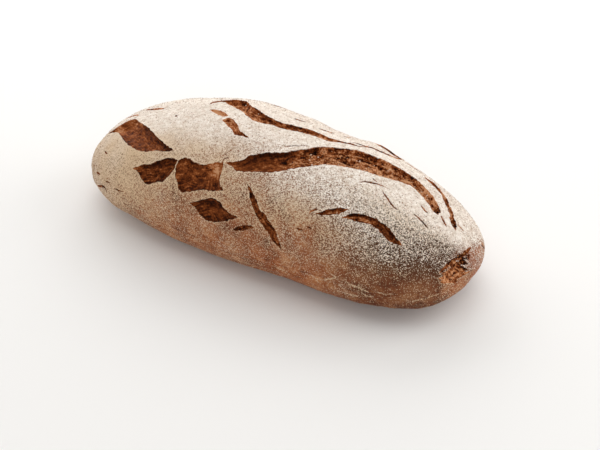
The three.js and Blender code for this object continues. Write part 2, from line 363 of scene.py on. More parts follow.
# %% [markdown]
# ## Ragged edges
#
# Bread tears in small nibbles. So each line is a smooth curve through its places, pushed sideways
# by noise at two scales, a wander and the crumb's own size, which fades out at the tips. Drawing
# each nibble by hand would take hundreds of places.

# %% Ragged edges
EDGE_STEP = 0.25  # mm between the points of an edge
WANDER, WANDER_SIZE = 0.5, 6.0  # how far an edge wanders, and how often, in mm
NIBBLE, NIBBLE_SIZE = 0.4, 1.8  # the same for the nibbles of torn crumb
TIP_FADE = 4.0  # mm from a tip over which both die away
RAGGED = {"end_rough": 2.4, "end": 1.7}  # how many times more ragged than the rest
CRACK_RAGGED = 0.8
SPLIT_SEEDS, FRONT_SEED, LINE_SEED = 10, 5, 1000  # from split to split, to its front, to lines


def smooth_path(stations):
    """Cubic curve through the stations, each length of it shaped by the slopes at its ends:
    (1-t)^2 (1+2t) a + t (1-t)^2 a' + t^2 (3-2t) b - t^2 (1-t) b'."""
    stations = np.array(stations, float)
    gaps = np.linalg.norm(np.diff(stations, axis=0), axis=1)
    along = np.concatenate([[0], np.cumsum(gaps)])
    slopes = np.gradient(stations, along, axis=0)
    at = np.linspace(0, along[-1], int(along[-1] / EDGE_STEP) + 2)
    i = np.clip(np.searchsorted(along, at, side="right") - 1, 0, len(gaps) - 1)
    t, gap = ((at - along[i]) / gaps[i])[:, None], gaps[i][:, None]
    start = (1 - t) ** 2 * ((1 + 2 * t) * stations[i] + t * gap * slopes[i])
    end = t**2 * ((3 - 2 * t) * stations[i + 1] - (1 - t) * gap * slopes[i + 1])
    return start + end, at


def ragged_path(stations, seed, much):
    """The smooth path, pushed sideways by noise that fades out at both tips."""
    path, at = smooth_path(stations)
    slope = np.gradient(path, axis=0)
    sideways = np.stack([-slope[:, 1], slope[:, 0]], axis=1)
    sideways /= np.linalg.norm(sideways, axis=1, keepdims=True)
    place = np.stack([at, 0 * at, 0 * at], axis=1)
    push = layers(place, [(WANDER_SIZE, WANDER, seed), (NIBBLE_SIZE, NIBBLE, seed + 1)])
    push *= much * np.clip(np.minimum(at, at[-1] - at) / TIP_FADE, 0, 1)
    return path + push[:, None] * sideways


edges = {}
for number, (name, (depth, back, front)) in enumerate(SPLITS.items()):
    seed, much = SPLIT_SEEDS * number, RAGGED.get(name, 1)
    front = [back[0], *front, back[-1]]
    edges[name] = ragged_path(back, seed, much), ragged_path(front, seed + FRONT_SEED, much)
print("edge points:", sum(len(back) + len(front) for back, front in edges.values()))

# %% [markdown]
# ## Distances to the edges
#
# Every point of the crust has to know how far it is from an edge and on which side. The distances
# to an edge's points are worked out all at once, as a table. A point is inside a split if a line
# from it along x crosses the outline an odd number of times.

# %% Distances to the edges
MARGIN = 12.0  # mm along and degrees round, within which distances to an edge are worked out
TABLE_LIMIT = 10**7  # numbers in a table of distances, which keeps it small enough for memory


def in_parts(rows, columns):
    """The numbers of a table's rows, in parts that each keep within the limit."""
    return np.array_split(np.arange(rows), rows * columns // TABLE_LIMIT + 1)


def nearest_on(points, path):
    """Distance from each point to the nearest point of a path, and that one's number."""
    distance, which = np.zeros(len(points)), np.zeros(len(points), int)
    for part in in_parts(len(points), len(path)):
        squares = (points[part] ** 2).sum(1)[:, None] + (path**2).sum(1) - 2 * points[part] @ path.T
        which[part] = squares.argmin(1)
        distance[part] = np.sqrt(np.maximum(squares.min(1), 0))
    return distance, which


def inside(x, roll, outline):
    """Whether places lie inside a closed outline: the rule of odd crossings."""
    odd = np.zeros(len(x), bool)
    following = np.roll(outline, -1, axis=0)
    for part in in_parts(len(x), len(outline)):
        height = roll[part][:, None]
        crosses = (outline[:, 1] > height) != (following[:, 1] > height)
        rise = following[:, 1] - outline[:, 1]
        share = (height - outline[:, 1]) / np.where(rise == 0, 1, rise)
        crossing = outline[:, 0] + share * (following[:, 0] - outline[:, 0])
        odd[part] = (crosses & (crossing > x[part][:, None])).sum(1) % 2 == 1
    return odd


def near_box(x, roll, places):
    """The numbers of the places that lie within MARGIN of a box round some others."""
    low, high = places.min(0) - MARGIN, places.max(0) + MARGIN
    return np.flatnonzero((x > low[0]) & (x < high[0]) & (roll > low[1]) & (roll < high[1]))


def split_distances(x, roll, points, name):
    """For the places near a split: their numbers, whether they are inside it, and how far they
    are in mm from its back and its front edge."""
    back, front = edges[name]
    near = near_box(x, roll, np.concatenate([back, front]))
    within = inside(x[near], roll[near], np.concatenate([back, front[::-1]]))
    from_back = nearest_on(points[near], crust_point(*back.T))[0]
    from_front = nearest_on(points[near], crust_point(*front.T))[0]
    return near, within, from_back, from_front


def line_distances(x, roll, points, half, stations):
    """For the places near a crack or crease: their numbers, and how far in mm they are inside its
    side, which is negative outside. From tip to tip, its width grows and shrinks as an ellipse."""
    path = ragged_path(stations, int(LINE_SEED + stations[0][0]), CRACK_RAGGED)
    near = near_box(x, roll, path)
    distance, which = nearest_on(points[near], crust_point(*path.T))
    share = which / (len(path) - 1)
    return near, half * (4 * share * (1 - share)) ** 0.5 - distance


def worked_depth(x, roll):
    """How far in mm each place is inside the nearest split, crack or crease, and negative
    outside."""
    points = crust_point(x, roll)
    depth = np.full(len(x), -MARGIN)
    for name in SPLITS:
        near, within, from_back, from_front = split_distances(x, roll, points, name)
        signed = np.where(within, 1, -1) * np.minimum(from_back, from_front)
        depth[near] = np.maximum(depth[near], signed)
    for half, stations in CRACKS + CREASES:
        near, signed = line_distances(x, roll, points, half, stations)
        depth[near] = np.maximum(depth[near], signed)
    return depth


checked = worked_depth(np.array([-20.0, 60.0]), np.array([41.0, -8.0])).round(1)
print("the long split's tip is", checked[0], "mm inside its edge, and its middle", checked[1])

# %% [markdown]
# ## A grid that is fine only where it has to be
#
# Torn crumb needs points less than half a millimetre apart, and a grid that fine all over would
# be too heavy. So it starts coarse, and each side of a triangle near a split is cut in half,
# twice over. A triangle is divided into two, three or four, so that no gap opens.

# %% The coarse grid
STEP = 1.92  # mm between the rings of the coarse grid, measured along the front outline
OUTLINE_POINTS = 4001  # how finely that outline is measured
TIP_GAP = 0.5  # mm from a tip to its nearest ring
CRUST_REACH = 112  # degrees from the ridge to where the underside begins
CRUST_TURN, UNDERSIDE_TURN = 1.65, 6.5  # degrees between columns, on the crust and underneath


def ring_places():
    """x of each ring, so that the rings are evenly spaced along the front outline."""
    x = LENGTH / 2 * np.sin(np.linspace(-np.pi / 2, np.pi / 2, OUTLINE_POINTS))
    gaps = np.hypot(np.diff(x), np.diff(outlines(x)[0]))
    along = np.concatenate([[0], np.cumsum(gaps)])
    count = int(along[-1] / STEP)
    return np.interp(np.linspace(TIP_GAP, along[-1] - TIP_GAP, count), along, x)


def coarse_grid():
    """The places, as x and roll, of a grid that closes round the loaf and in a point at each
    tip, and its triangles."""
    crust = np.linspace(-CRUST_REACH, CRUST_REACH, int(2 * CRUST_REACH / CRUST_TURN) + 1)
    gap = 360 - 2 * CRUST_REACH
    under = CRUST_REACH + np.linspace(0, gap, int(gap / UNDERSIDE_TURN) + 1)[1:-1]
    x, roll = np.meshgrid(ring_places(), np.concatenate([crust, under]), indexing="ij")
    number = np.arange(x.size).reshape(x.shape)
    following = np.roll(number, -1, axis=1)
    here, there, here_next, there_next = number[:-1], number[1:], following[:-1], following[1:]
    left, right = np.full(x.shape[1], x.size), np.full(x.shape[1], x.size + 1)
    triangles = [np.stack(corners, axis=-1).reshape(-1, 3) for corners in (
        (here, here_next, there_next), (here, there_next, there),
        (left, following[0], number[0]), (right, number[-1], following[-1]),
    )]
    x = np.concatenate([x.ravel(), [-LENGTH / 2, LENGTH / 2]])
    roll = np.concatenate([roll.ravel(), [0, 0]])
    return x, roll, np.concatenate(triangles)


x, roll, triangles = coarse_grid()
print("coarse grid:", len(x), "points and", len(triangles), "triangles")

# %% Refining near the splits
REACHES = (2.1, 0.45)  # mm outside an edge up to which the grid is cut, the first and second time


def refine(x, roll, triangles, fine):
    """Cuts in half each side that has a point where the grid is to be fine. A new point gets the
    mean x and roll of its side's two ends."""
    corners = np.stack([triangles, np.roll(triangles, -1, axis=1)], axis=-1)
    sides, which = np.unique(np.sort(corners.reshape(-1, 2), axis=1), axis=0, return_inverse=True)
    cut = fine[sides].any(axis=1)
    middle = np.where(cut, len(x) + np.cumsum(cut) - 1, -1)[which].reshape(-1, 3)
    x = np.concatenate([x, x[sides[cut]].mean(axis=1)])
    roll = np.concatenate([roll, roll[sides[cut]].mean(axis=1)])
    count = (middle >= 0).sum(axis=1)
    # Turn each triangle until its one cut side comes first, or its one uncut side last.
    first = np.where(count == 1, middle.argmax(axis=1), (middle.argmin(axis=1) + 1) % 3)
    order = (first[:, None] + np.arange(3)) % 3
    a, b, c = np.take_along_axis(triangles, order, axis=1).T
    ab, bc, ca = np.take_along_axis(middle, order, axis=1).T
    pieces = {
        0: [(a, b, c)],
        1: [(a, ab, c), (ab, b, c)],
        2: [(ab, b, bc), (a, ab, bc), (a, bc, c)],
        3: [(a, ab, ca), (ab, b, bc), (ca, bc, c), (ab, bc, ca)],
    }
    made = [np.stack(piece, axis=1)[count == n] for n in pieces for piece in pieces[n]]
    return x, roll, np.concatenate(made)


for reach in REACHES:
    x, roll, triangles = refine(x, roll, triangles, worked_depth(x, roll) > -reach)
    print("refined grid:", len(x), "points and", len(triangles), "triangles")

# %% [markdown]
# ## Relief of the whole crust
#
# The relief is how far each point is moved in or out. Whole crust only undulates, with fine
# wrinkles near the base. A displacement texture could do this, but worked out here it also tells
# the finish where the wrinkles are.

# %% Relief of the whole crust
UNEVEN = ((16, 0.45, 40), (5.5, 0.22, 41), (2.6, 0.1, 42))  # size and height in mm, and seed
WRINKLES = (((22, 2.6, 2.6), 0.35, 50),)  # the same, with a size along each axis
BASE_START, BASE_END = (78, 92), (122, 134)  # degrees of roll over which they set in and end


def near_base(roll):
    """1 on the lowest part of both flanks, and 0 elsewhere."""
    turned = np.abs(roll)
    return smooth_step(turned, *BASE_START) * (1 - smooth_step(turned, *BASE_END))


points = crust_point(x, roll)
relief = layers(points, UNEVEN) + near_base(roll) * layers(points, WRINKLES)
print("the whole crust goes from", relief.min().round(2), "to", relief.max().round(2), "mm")

# %% [markdown]
# ## Relief of the splits
#
# A split is deepest a third of the way from its back edge, and the crust beside it curls up.
# Separate strips would need joining to the crust. Instead each point knows its distance from both
# edges, and its place between them picks its depth from one short profile, however wide the split
# is.

# %% Relief of the splits and lines
DEPTH_SHARE = 0.4  # a split is no deeper than this share of its width
WALL, FRONT_STEP = 1.1, 0.9  # mm that the steep wall and the low front step take across
# By place from the back edge, 0, to the front, 1: share of the depth, and how much paler it
# is painted: darker near the back edge, a painted shade under its lip, and paler across the
# middle, partly from baking and partly painted light.
FLOOR = ([0, 0.1, 0.35, 0.65, 1], [0.45, 0.5, 1, 0.85, 0.25])
FLOOR_SHADE_AND_BAKING = ([0, 0.12, 0.35, 0.75, 1], [-0.2, -0.1, 0.12, 0.08, -0.1])
DEEP = 6  # mm, the depth at which a floor gets that painted shade and paler middle in full
LIP, FRONT_LIP, LIP_REACH = 0.6, 0.3, 2.0  # mm that the crust curls up, and over how far
LIP_END = 1.0  # mm inside an edge where its lip has ended
RIM_REACH = 1.1  # mm beside a split over which its lip is rubbed pale
CRACK_DEPTH, CREASE_DEPTH = 1.1, 0.45  # mm
CRACK_START, CREASE_START = -0.35, -0.5  # mm inside its side where each begins to sink
CREASE_FILLED = 0.2  # mm inside its side from where flour fills a crease

torn = np.full(len(x), -MARGIN)
rim, crease, floor_shade_and_baking, across = np.zeros((4, len(x)))
for name, (depth, *_) in SPLITS.items():
    near, within, from_back, from_front = split_distances(x, roll, points, name)
    width = from_back + from_front
    place = from_back / np.maximum(width, TINY)
    deep = np.minimum(depth, DEPTH_SHARE * width) * np.interp(place, *FLOOR)
    deep *= smooth_step(from_back, 0, WALL) * smooth_step(from_front, 0, FRONT_STEP)
    closest = np.minimum(from_back, from_front)
    curl = LIP * np.exp(-from_back / LIP_REACH) + FRONT_LIP * np.exp(-from_front / LIP_REACH)
    relief[near] += np.where(within, curl * (1 - smooth_step(closest, 0, LIP_END)) - deep, curl)
    torn[near] = np.maximum(torn[near], np.where(within, closest, -closest))
    rim[near] = np.maximum(rim[near], np.exp(-((closest / RIM_REACH) ** 2)))
    across[near] += within * from_back * MM
    # Painted shade under the back edge, and a paler middle that is partly baking and partly painted
    # light.
    floor_shade_and_baking[near] += within * np.interp(place, *FLOOR_SHADE_AND_BAKING) * depth / DEEP
for half, stations in CRACKS:
    near, signed = line_distances(x, roll, points, half, stations)
    relief[near] -= CRACK_DEPTH * smooth_step(signed, CRACK_START, half)
    torn[near] = np.maximum(torn[near], signed)
for half, stations in CREASES:
    near, signed = line_distances(x, roll, points, half, stations)
    relief[near] -= CREASE_DEPTH * smooth_step(signed, CREASE_START, half)
    crease[near] = np.maximum(crease[near], smooth_step(signed, CREASE_START, CREASE_FILLED))
print("with the splits it goes down to", relief.min().round(1), "mm")

# %% [markdown]
# ## Torn crumb
#
# Where dough tears, bubbles burst and strands are drawn out, and both bake hard. Stretched noise
# makes the strands, and round hollows the pores. Moved straight out of the smooth crust they
# would smear down the steep walls, so they are worked out on the splits' own surface.

# %% Torn crumb
STRANDS = (((7.0, 3.0, 3.0), 0.7, 60), ((2.6, 1.3, 1.3), 0.45, 61))  # as for the wrinkles
PORE_SIZE, PORE_SEED = (5.0, 3.2, 3.2), 70  # mm between pores, which are longer along the loaf
PORE_DEPTH, PORE_WIDTH = 1.4, 0.3  # mm, and as a share of their size
CRUMB_START = (0.1, 1.4)  # mm inside an edge over which the crumb gets its full height
# How much rougher than usual the torn crumb is: x, roll, reach along, reach round, share.
ROUGHER = [(-2, 32, 26, 16, -0.5), (52, 2, 32, 18, 0.75), (98, -18, 28, 14, 1.15),
           (-105, 32, 34, 25, -0.55), (-45, 55, 40, 14, -0.35), (-18, 71, 22, 10, -0.35),
           (146, 45, 9, 60, 0.6), (-35, 8, 20, 12, -0.2), (125, -28, 14, 16, 0.5)]


def crumb_height(points):
    """Height in mm of the torn crumb: noise at two sizes, less a round hollow in each pore."""
    distance, owner = pores(points, PORE_SIZE, PORE_SEED)
    hollow = PORE_DEPTH * owner**2 * np.exp(-((distance / PORE_WIDTH) ** 2))
    return layers(points, STRANDS) - hollow


def vertex_normals(points, triangles):
    """The direction out of a mesh at each point: the sum of its triangles' cross products."""
    a, b, c = points[triangles].transpose(1, 0, 2)
    crosses = np.cross(b - a, c - a)
    corner = triangles.ravel()
    total = [np.bincount(corner, np.repeat(crosses[:, i], 3), len(points)) for i in range(3)]
    return np.stack(total, axis=1) / np.maximum(np.linalg.norm(total, axis=0), TINY)[:, None]


surface = points + crust_normal(x, roll) * relief[:, None]
roughness = 1 + bells(x, roll, ROUGHER)
crumb = np.zeros(len(x))
open_floor = torn > 0
crumb[open_floor] = crumb_height(surface[open_floor]) * roughness[open_floor]
raised = crumb * smooth_step(torn, *CRUMB_START)
surface += vertex_normals(surface, triangles) * raised[:, None]
surface[:, 2] = np.maximum(surface[:, 2], 0)
print("the loaf's surface spans", np.ptp(surface, axis=0).round(1), "mm")

# %% [markdown]
# ## Flour
#
# Flour lies thick on top and rubs off where the loaf bulges, slowly at the left and fast at the
# right, and it stays on the lips and in the creases. A mask could be painted, but a few numbers
# along the loaf are easier to change. They give each point the share of crust that flour hides.

# %% How much flour there is
# x in mm, the roll at which flour hides half the front flank, and the degrees it fades over.
FLOUR_EDGES = [(-150, 112, 50), (-120, 106, 46), (-100, 98, 46), (-80, 85, 50), (-60, 72, 50),
               (-30, 63, 50), (-10, 54, 48), (10, 50, 46), (40, 53, 38), (60, 57, 31),
               (80, 56, 28), (100, 48, 28), (120, 38, 29), (135, 18, 36), (150, -20, 50)]
BACK_FLOUR_EDGE, BACK_FLOUR_FADE = -86, 27  # degrees
# Where more or less of it lies, in rows as for the swells.
FLOUR_HEAPS = [(78, 12, 40, 26, 0.4), (125, 82, 28, 14, -0.08), (-118, 55, 16, 16, 0.06),
               (-105, 95, 30, 14, 0.05), (6, 46, 14, 12, -0.12), (52, 63, 14, 10, -0.13),
               (35, 42, 14, 10, 0.1), (112, 36, 16, 10, -0.07)]
TIP_FLOUR, TIP_REACH = 0.8, (141.0, 149.5)  # share all round both tips, and where it sets in
BARE_END, BARE_END_REACH = 0.75, (142.5, 147.5)  # how much less flour the right tip has, and x
RIM_FLOUR, CREASE_FLOUR = 0.2, 0.55
FLOUR_PATCHES = ((22, 0.12, 80), (7, 0.09, 81))  # size in mm, how much more or less, and seed


def flour_share(points, x, roll):
    """The share of the crust that flour hides: a smooth step down each flank, with patches."""
    at, edge, fade = np.array(FLOUR_EDGES).T
    front = (np.interp(x, at, edge) - roll) / np.interp(x, at, fade)
    back = (roll - BACK_FLOUR_EDGE) / BACK_FLOUR_FADE
    share = 0.5 + 0.5 * np.tanh(np.minimum(front, back)) + bells(x, roll, FLOUR_HEAPS)
    share += (TIP_FLOUR - share) * smooth_step(np.abs(x), *TIP_REACH)
    share *= 1 - BARE_END * smooth_step(x, *BARE_END_REACH)
    return share + layers(points, FLOUR_PATCHES)


flour = flour_share(points, x, roll) + RIM_FLOUR * rim + CREASE_FLOUR * crease
print("mean flour share:", flour.mean().round(2))

# %% [markdown]
# ## How the crust baked
#
# The flour toasted to tan on the front flank, and at the right the crust between its grains looks
# nearly black. The long split's right half baked orange, and the left ones a dark red brown.
# Noise can't be told where to put such slow changes, so they are numbers for each point as well.
# These numbers also carry painted shade under the splits' back edges and in the crumb's pores.

# %% How the torn crumb baked
# How much paler and oranger than usual it is, in rows as for the swells.
TOAST = [(-5, 32, 22, 16, -0.02), (50, 5, 32, 16, 0.3), (96, -16, 26, 14, 0.72),
         (-52, -22, 28, 9, 0.32), (-25, 45, 8, 5, 0.6), (-119, 15, 7, 5, 0.5),
         (-106, 21, 8, 4, 0.35), (-105, 32, 34, 20, 0.02), (-62, 56, 45, 14, -0.07),
         (-16, 71, 20, 10, -0.17), (60, 46, 12, 6, 0.1), (120, -32, 18, 15, 0.45),
         (-35, 8, 16, 9, 0.36), (-53, -2, 12, 8, 0.55), (-10, -10, 50, 10, 0.18),
         (30, -16, 20, 8, 0.3), (146, 68, 9, 18, 0.35), (146, 28, 9, 14, -0.3),
         (-124, -5, 22, 14, 0.55), (-129, 28, 6, 7, 0.45), (50, -42, 50, 10, 0.35)]
CRUMB_TOAST_AND_SHADE, EVEN_TOAST = 0.28, 0.46  # how much each mm of height adds, partly as baking and partly as painted shade in its pores, and what all of it has

# Baking colour, with painted shade under the splits' back edges and in the crumb's pores.
baked = EVEN_TOAST + CRUMB_TOAST_AND_SHADE * crumb + bells(x, roll, TOAST) + floor_shade_and_baking
print("baked from", baked[open_floor].min().round(2), "to", baked[open_floor].max().round(2))

# %% How the floured crust baked
TAN_ROLL, TAN_END = (10, 58), (105, 160)  # roll over which flour turns tan, and over which it ends
TAN_LATER = ((10, -20, 30), (16, 50, 100))  # degrees later it turns, and x over which that sets in
TIP_TAN, TIP_TAN_REACH = 0.6, (-140, -90)  # its share at the left tip, and x over which it grows
TAN_PATCHES, PATCHY_FROM = ((12, 0.2, 90),), (0, 0.3)  # as for flour, and how tan it is for them
BLACK_X, BLACK_ROLL = (20, 110), (0, 30)  # x and roll over which the bare crust turns black
BLACK_LATER = (30, 45, 65)  # mm later low on the flank, and the roll over which that sets in
BLACK_LOW, BLACK_END = (0.42, 62, 82), (139, 147)  # how much less there, and x over which it ends
GREY_TAN = 0.35  # how tan flour gets at least where the crust is black
# How much the flour differs from clump to clump on top, how much more it does on the flanks, and
# the roll over which that grows.
EVEN_COARSE, FLANK_COARSE, FLANK = 0.32, 0.48, (15, 50)
# Where it differs more or less, in rows as for the swells.
COARSER = [(30, 30, 55, 30, 0.45), (90, 50, 38, 24, 0.65), (66, 8, 42, 24, 0.52),
           (10, 92, 70, 18, 0.15), (56, 68, 22, 14, -0.4), (124, 34, 16, 20, 0.3)]


def toasting(points, x, roll):
    """How tan the flour is: a smooth step down the front flank, which comes later towards the
    right, with patches."""
    later = sum(much * smooth_step(x, *reach) for much, *reach in TAN_LATER)
    tan = smooth_step(roll - later, *TAN_ROLL) * (1 - smooth_step(roll, *TAN_END))
    tan *= TIP_TAN + (1 - TIP_TAN) * smooth_step(x, *TIP_TAN_REACH)
    return np.clip(tan + layers(points, TAN_PATCHES) * smooth_step(tan, *PATCHY_FROM), 0, 1)


def blackening(x, roll):
    """How black bare crust looks between grains: smooth steps towards the right and down the
    flank, less one near the base and one at the right tip."""
    later, less = BLACK_LATER[0] * smooth_step(roll, *BLACK_LATER[1:]), BLACK_LOW[0]
    black = smooth_step(x, BLACK_X[0] + later, BLACK_X[1]) * smooth_step(roll, *BLACK_ROLL)
    black *= 1 - less * smooth_step(roll, *BLACK_LOW[1:])
    return black * (1 - smooth_step(x, *BLACK_END))


black = blackening(x, roll)
tan = np.maximum(toasting(points, x, roll), GREY_TAN * black**2)
coarse = EVEN_COARSE + FLANK_COARSE * smooth_step(np.abs(roll), *FLANK) + bells(x, roll, COARSER)
print("mean tan share:", tan.mean().round(2), "and mean black share:", black.mean().round(2))

# %% [markdown]
# ## The loaf's mesh
#
# The points and triangles go into one mesh, in metres, with the finish's numbers as attributes.
# Torn crumb is left faceted, which gives it its dry glints, and whole crust is shaded smooth.

# %% The loaf
FACETED_FROM = 0.3  # mm inside an edge


def make_mesh(name, points, triangles, smooth=True, **numbers):
    """A mesh object from points in mm and triangles, with named numbers for each point."""
    mesh = bpy.data.meshes.new(name)
    mesh.vertices.add(len(points))
    mesh.vertices.foreach_set("co", (points * MM).astype(np.float32).ravel())
    mesh.loops.add(triangles.size)
    mesh.loops.foreach_set("vertex_index", triangles.astype(np.int32).ravel())
    mesh.polygons.add(len(triangles))
    mesh.polygons.foreach_set("loop_start", np.arange(0, triangles.size, 3, dtype=np.int32))
    mesh.polygons.foreach_set("use_smooth", np.ones(len(triangles), bool) & smooth)
    mesh.update(calc_edges=True)
    for key, values in numbers.items():
        attribute = mesh.attributes.new(key, "FLOAT", "POINT")
        attribute.data.foreach_set("value", values.astype(np.float32))
    made = bpy.data.objects.new(name, mesh)
    bpy.context.scene.collection.objects.link(made)
    return made


whole = torn[triangles].max(axis=1) < FACETED_FROM
numbers = dict(torn=torn, across=across, baked=baked, flour=flour, tan=tan, coarse=coarse,
               black=black, grit=roughness, low=near_base(roll))
loaf = make_mesh("loaf_crust", surface, triangles, whole, **numbers)
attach(loaf, "root")
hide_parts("loaf")
print("the loaf has", len(triangles), "triangles")

# %% [markdown]
# ## Tools for the finish
#
# A finish is a tree of nodes. One function adds a node with its settings and links, and gives
# back the output that the next one needs. Colours are the sRGB values of a colour picker, and a
# second function turns them into the linear light that Blender mixes.

# %% Tools for the finish
def linear(colour):
    """An sRGB hex colour as linear red, green, blue and alpha, by the sRGB standard's curve."""
    values = (int(colour[i : i + 2], 16) / 255 for i in (1, 3, 5))
    steps = (v / 12.92 if v <= 0.04045 else ((v + 0.055) / 1.055) ** 2.4 for v in values)
    return (*steps, 1)


def fill_sockets(material, node, inputs):
    """Gives a node's inputs, by name or by number among those in use, a value, a hex colour, or
    the output that is linked to it."""
    used = [socket for socket in node.inputs if socket.enabled]
    for key, value in inputs.items():
        socket = used[key] if isinstance(key, int) else next(s for s in used if s.name == key)
        if isinstance(value, bpy.types.NodeSocket):
            material.node_tree.links.new(value, socket)
        else:
            socket.default_value = linear(value) if isinstance(value, str) else value


def add_node(material, kind, inputs, out=None, stops=(), **settings):
    """Adds a node, and returns the output named out, or the first one in use. Stops are a ramp's
    places and colours."""
    node = material.node_tree.nodes.new("ShaderNode" + kind)
    for name, value in settings.items():
        setattr(node, name, value)
    fill_sockets(material, node, inputs)
    for i, (at, colour) in enumerate(stops):
        stop = node.color_ramp.elements[i] if i < 2 else node.color_ramp.elements.new(at)
        stop.position, stop.color = at, linear(colour)
    return next(one for one in node.outputs if one.enabled and out in (None, one.name))


def new_material(name, **sockets):
    """An empty material, its shader with the given sockets set, and add_node for this one."""
    material = bpy.data.materials.new(name)
    material.use_nodes = True
    shader = material.node_tree.nodes["Principled BSDF"]
    fill_sockets(material, shader, {key.replace("_", " "): value for key, value in sockets.items()})
    return material, shader, partial(add_node, material)


print("white flour in linear light:", [round(v, 3) for v in linear("#efe4d6")])

# %% [markdown]
# ## The floured crust: its patterns
#
# The crust is rye dough dusted with rye flour and baked on stone. Dry flour scatters light, so it
# has almost no gloss. Image textures would need a map of the whole loaf, but noise in the loaf's
# own coordinates fits from all sides. There is one for each thing that varies, in its real size.

# %% The floured crust: its patterns
STREAK_PULL, STRAND_PULL = 0.12, 0.22  # how slowly they change along the loaf, against across

# Rye crust under flour: the flour is matt, and lets a dull gloss through only where it is worn.
crust, crust_shader, add = new_material("floured_rye_crust", IOR=1.45, Specular_IOR_Level=0.12)
number = {name: add("Attribute", {}, out="Fac", attribute_name=name) for name in numbers}
spot = add("TexCoord", {}, out="Object")
streak = add("Mapping", {"Vector": spot, "Scale": (STREAK_PULL, 1, 1)})
along = add("SeparateXYZ", {"Vector": spot}, out="X")
along = add("Math", {0: along, 1: STRAND_PULL}, operation="MULTIPLY")
strand = add("CombineXYZ", {"X": along, "Y": number["across"]})
# For each: its coordinates, size in mm, finer layers, how much they count, and how it swirls.
PATTERNS = {
    "heaps": (spot, 2.4, 2, 0.5, 0),  # how clumps of flour gather
    "powder": (spot, 3.5, 4, 0.7, 0),  # how thick the flour lies
    "curls": (spot, 8, 2, 0.5, 1.6),  # faint marks that the cloth left in it
    "mottle": (spot, 14, 6, 0.65, 0),  # how the bare crust browned
    "streaks": (streak, 1.5, 2, 0.5, 0),  # along the wrinkles near the base
    "browning": (spot, 3, 1, 0.5, 0),  # how the torn crumb browned
    "grit": (spot, 1.1, 1, 0.5, 0),  # crumb that is too small for the mesh
    "strands": (strand, 4 / 3, 2, 0.5, 0),  # crumb that was drawn out along its split
    "nibbles": (spot, 0.9, 2, 0.5, 0),  # the flour's ragged edge round a split
}
pattern = {
    name: add("TexNoise", {"Vector": where, "Scale": 1 / (size * MM), "Detail": finer,
                           "Roughness": counts, "Distortion": swirl})
    for name, (where, size, finer, counts, swirl) in PATTERNS.items()
}
print(len(pattern), "patterns, from", min(row[1] for row in PATTERNS.values()), "mm")

# %% [markdown]
# ## The floured crust: how the grains lie
#
# Rye flour is coarse, so where it is thin it is a speckle of pale dots on brown, and never the
# haze that half-clear paint would give. So the crust is divided into cells the size of a clump.
# Each has a random number, mixed with how near its middle is so that small clumps are round, and
# flour fills as many as its share there says.

# %% The floured crust: how the grains lie
CLUMP = 0.72  # mm; real clumps of flour are finer, and this is as coarse as they need to show
ROUND, DOT_REACH = 0.6, 0.85  # how round clumps are, and how far a dot reaches, in clumps
DIFFER = (-0.94, 1.14)  # what the flour's share differs by at the barest and fullest clump
HEAPED = (0.4, 0.6)  # what heaps add to it
COVERED = (0.7, 1.3)  # sum over which a clump goes from bare to covered

clump = {"Vector": spot, "Scale": 1 / (CLUMP * MM)}
chance = add("SeparateColor", {0: add("TexVoronoi", clump, out="Color")}, out="Red")
dot = add("MapRange", {"Value": add("TexVoronoi", clump), "From Max": DOT_REACH, "To Min": 1,
                       "To Max": 0})
chance = add("Mix", {"Factor": ROUND, "A": chance, "B": dot})
uneven = add("MapRange", {"Value": chance, "To Min": DIFFER[0], "To Max": DIFFER[1]})
uneven = add("Math", {0: uneven, 1: number["coarse"]}, operation="MULTIPLY")
heaps = add("MapRange", {"Value": pattern["heaps"], "To Min": HEAPED[0], "To Max": HEAPED[1]})
heaped = add("Math", {0: heaps, 1: number["flour"]}, operation="ADD")
filled = add("Math", {0: uneven, 1: heaped}, operation="ADD")
cover = add("MapRange", {"Value": filled, "From Min": COVERED[0], "From Max": COVERED[1]},
            interpolation_type="SMOOTHSTEP")
print("a clump of flour is", CLUMP, "mm wide")

# %% [markdown]
# ## The floured crust: its colours
#
# Bare crust is a dull red brown with streaks along its wrinkles, and fine dust greys it where
# flour lies thick. Flour is nearly white and toasts to tan. Each colour wanders a little, because
# one even colour is what makes food look like plastic.

# %% The floured crust: bare crust
STREAKED = 0.3  # how far streaks reach up and down the ramp of browns
DUSTED = (0.05, 0.4)  # how much dust hides without flour, and under full flour
BLACKEST = 0.8  # how much of the brown is hidden where the crust is black

streaks = add("MapRange", {"Value": pattern["streaks"], "To Min": -STREAKED, "To Max": STREAKED})
browned = add("Math", {0: streaks, 1: number["low"], 2: pattern["mottle"]},
              operation="MULTIPLY_ADD")
bare = add("ValToRGB", {"Fac": browned},
           stops=[(0.3, "#612a12"), (0.5, "#934f2c"), (0.7, "#b97b50")])
dust = add("MapRange", {"Value": number["flour"], "To Min": DUSTED[0], "To Max": DUSTED[1]})
shaded = add("Math", {0: number["black"], 1: BLACKEST}, operation="MULTIPLY")
for share, tone in ((dust, "#857c68"), (shaded, "#2a1d13")):
    bare = add("Mix", {"Factor": share, "A": bare, "B": tone}, data_type="RGBA")
print("bare crust takes", len(crust.node_tree.nodes), "nodes, patterns and all")

# %% The floured crust: flour
LUMPY = 0.4  # how much lighter a full clump is
CURL_WIDTH, CURLED = 0.035, 0.5  # of the noise, and how dark a curl is in its middle

